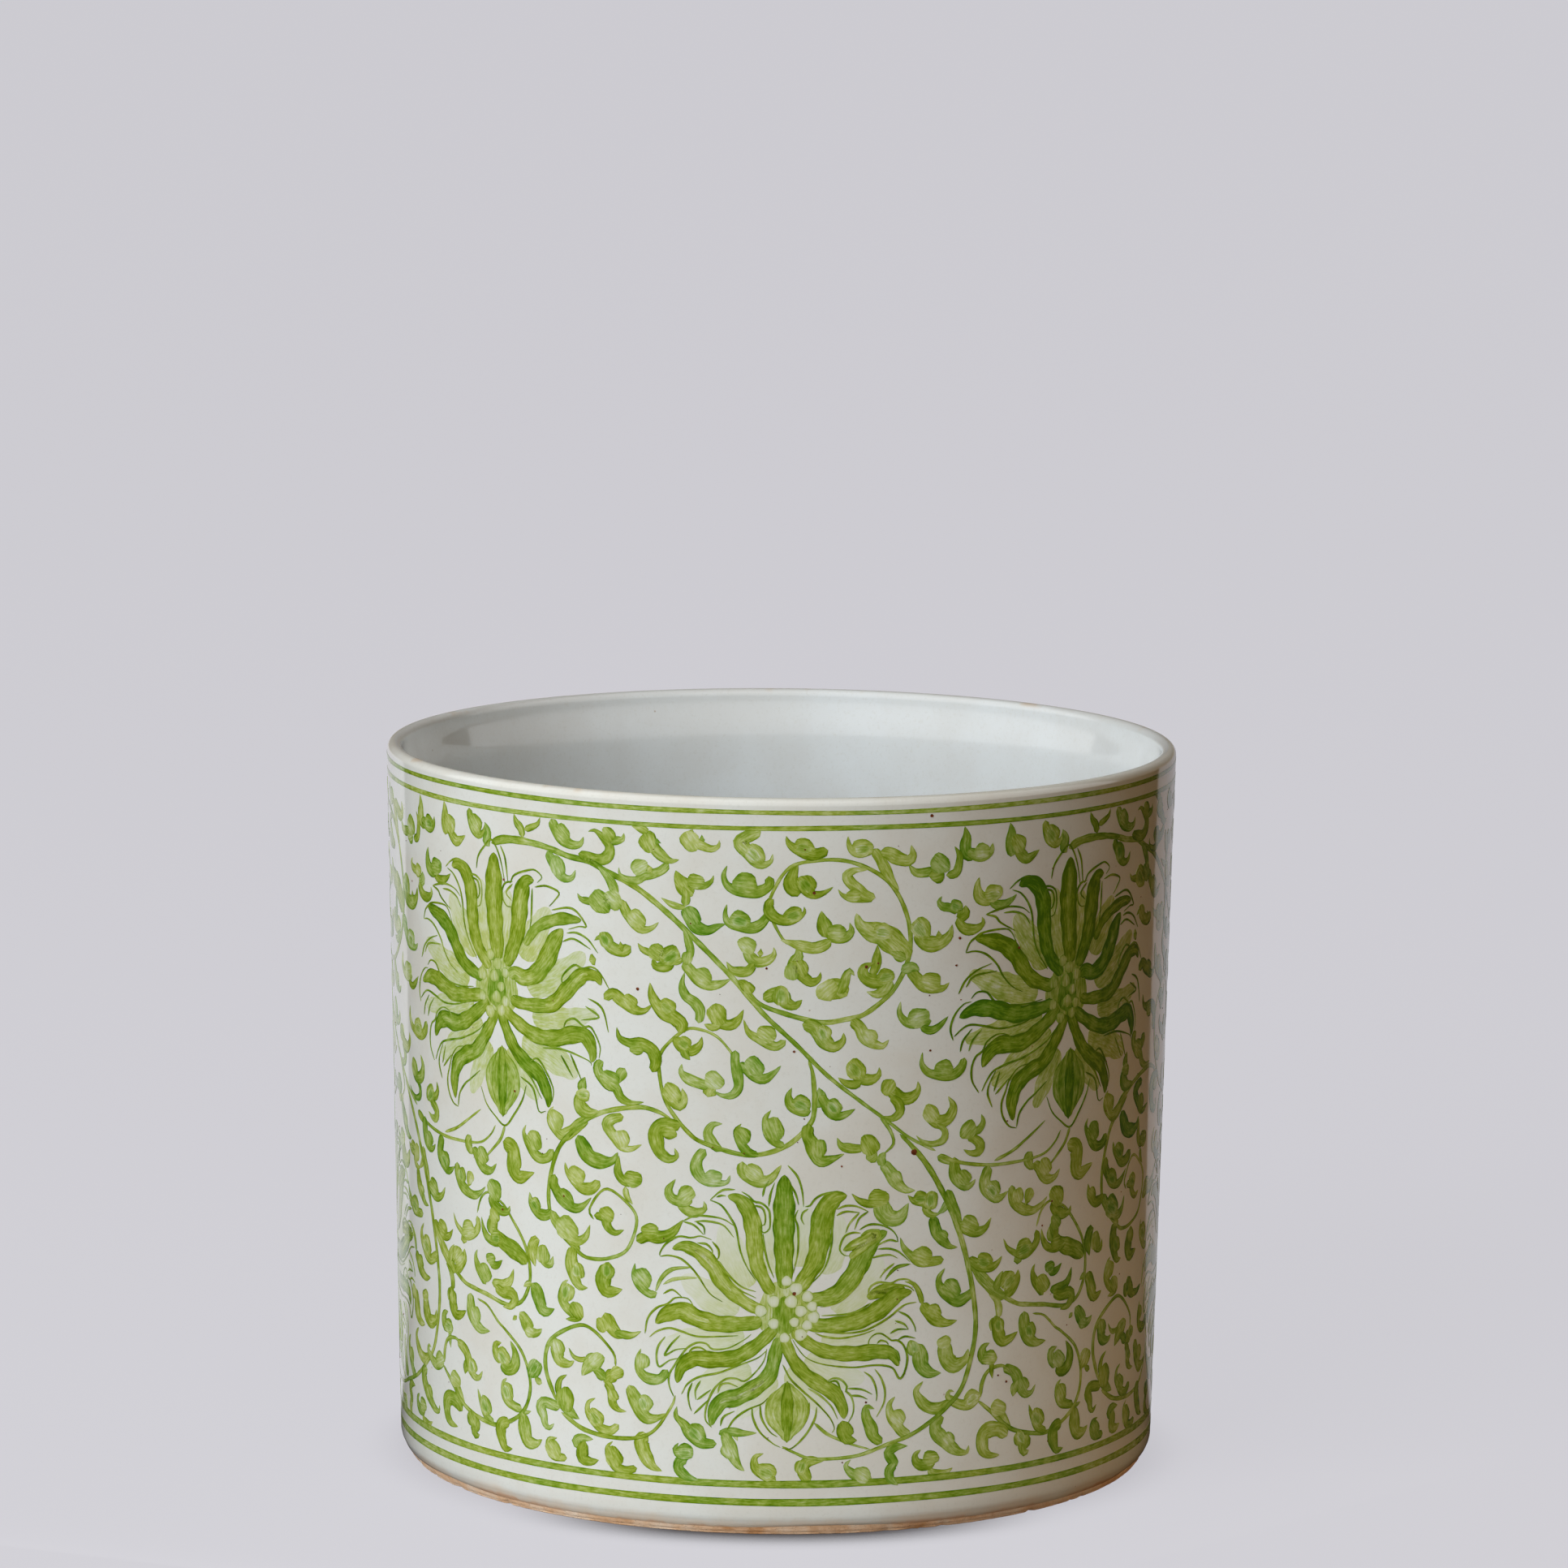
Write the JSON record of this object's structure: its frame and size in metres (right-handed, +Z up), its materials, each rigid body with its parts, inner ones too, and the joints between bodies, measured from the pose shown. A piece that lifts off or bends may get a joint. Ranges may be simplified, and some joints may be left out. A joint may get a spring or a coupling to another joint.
{
  "type": "brush holder pot",
  "caption": "Wide cylindrical glazed porcelain pot with a rounded lip, a bevelled bare foot ring and green painted border lines; stands on a desk and holds brushes upright.",
  "frame": {"origin": "centre of the foot ring's standing plane", "axes": "+Z up along the pot's axis towards the open mouth; -Y faces the viewer, where one lower flower of the painting is centred; +X is to the viewer's right"},
  "size_m": [0.254, 0.254, 0.232],
  "materials": {
    "porcelain_clay": "fired white porcelain body, matt",
    "bare_foot_clay": "bare fired clay flashed orange-brown by the kiln, matt",
    "outer_glaze": "clear glossy glaze over white porcelain, with fine iron specks",
    "inner_glaze": "clear glossy glaze, slightly blue-grey where it pools",
    "green_pigment": "brushed apple-green pigment under clear glaze, streaky, darker where it pools"
  },
  "bodies": {
    "root": {"wall": "porcelain_clay", "base_slab": "porcelain_clay", "foot_ring": "bare_foot_clay", "outer_glaze": "outer_glaze", "inner_glaze": "inner_glaze", "base_glaze": "inner_glaze", "upper_border_lines": "green_pigment", "lower_border_lines": "green_pigment"}
  },
  "joints": []
}
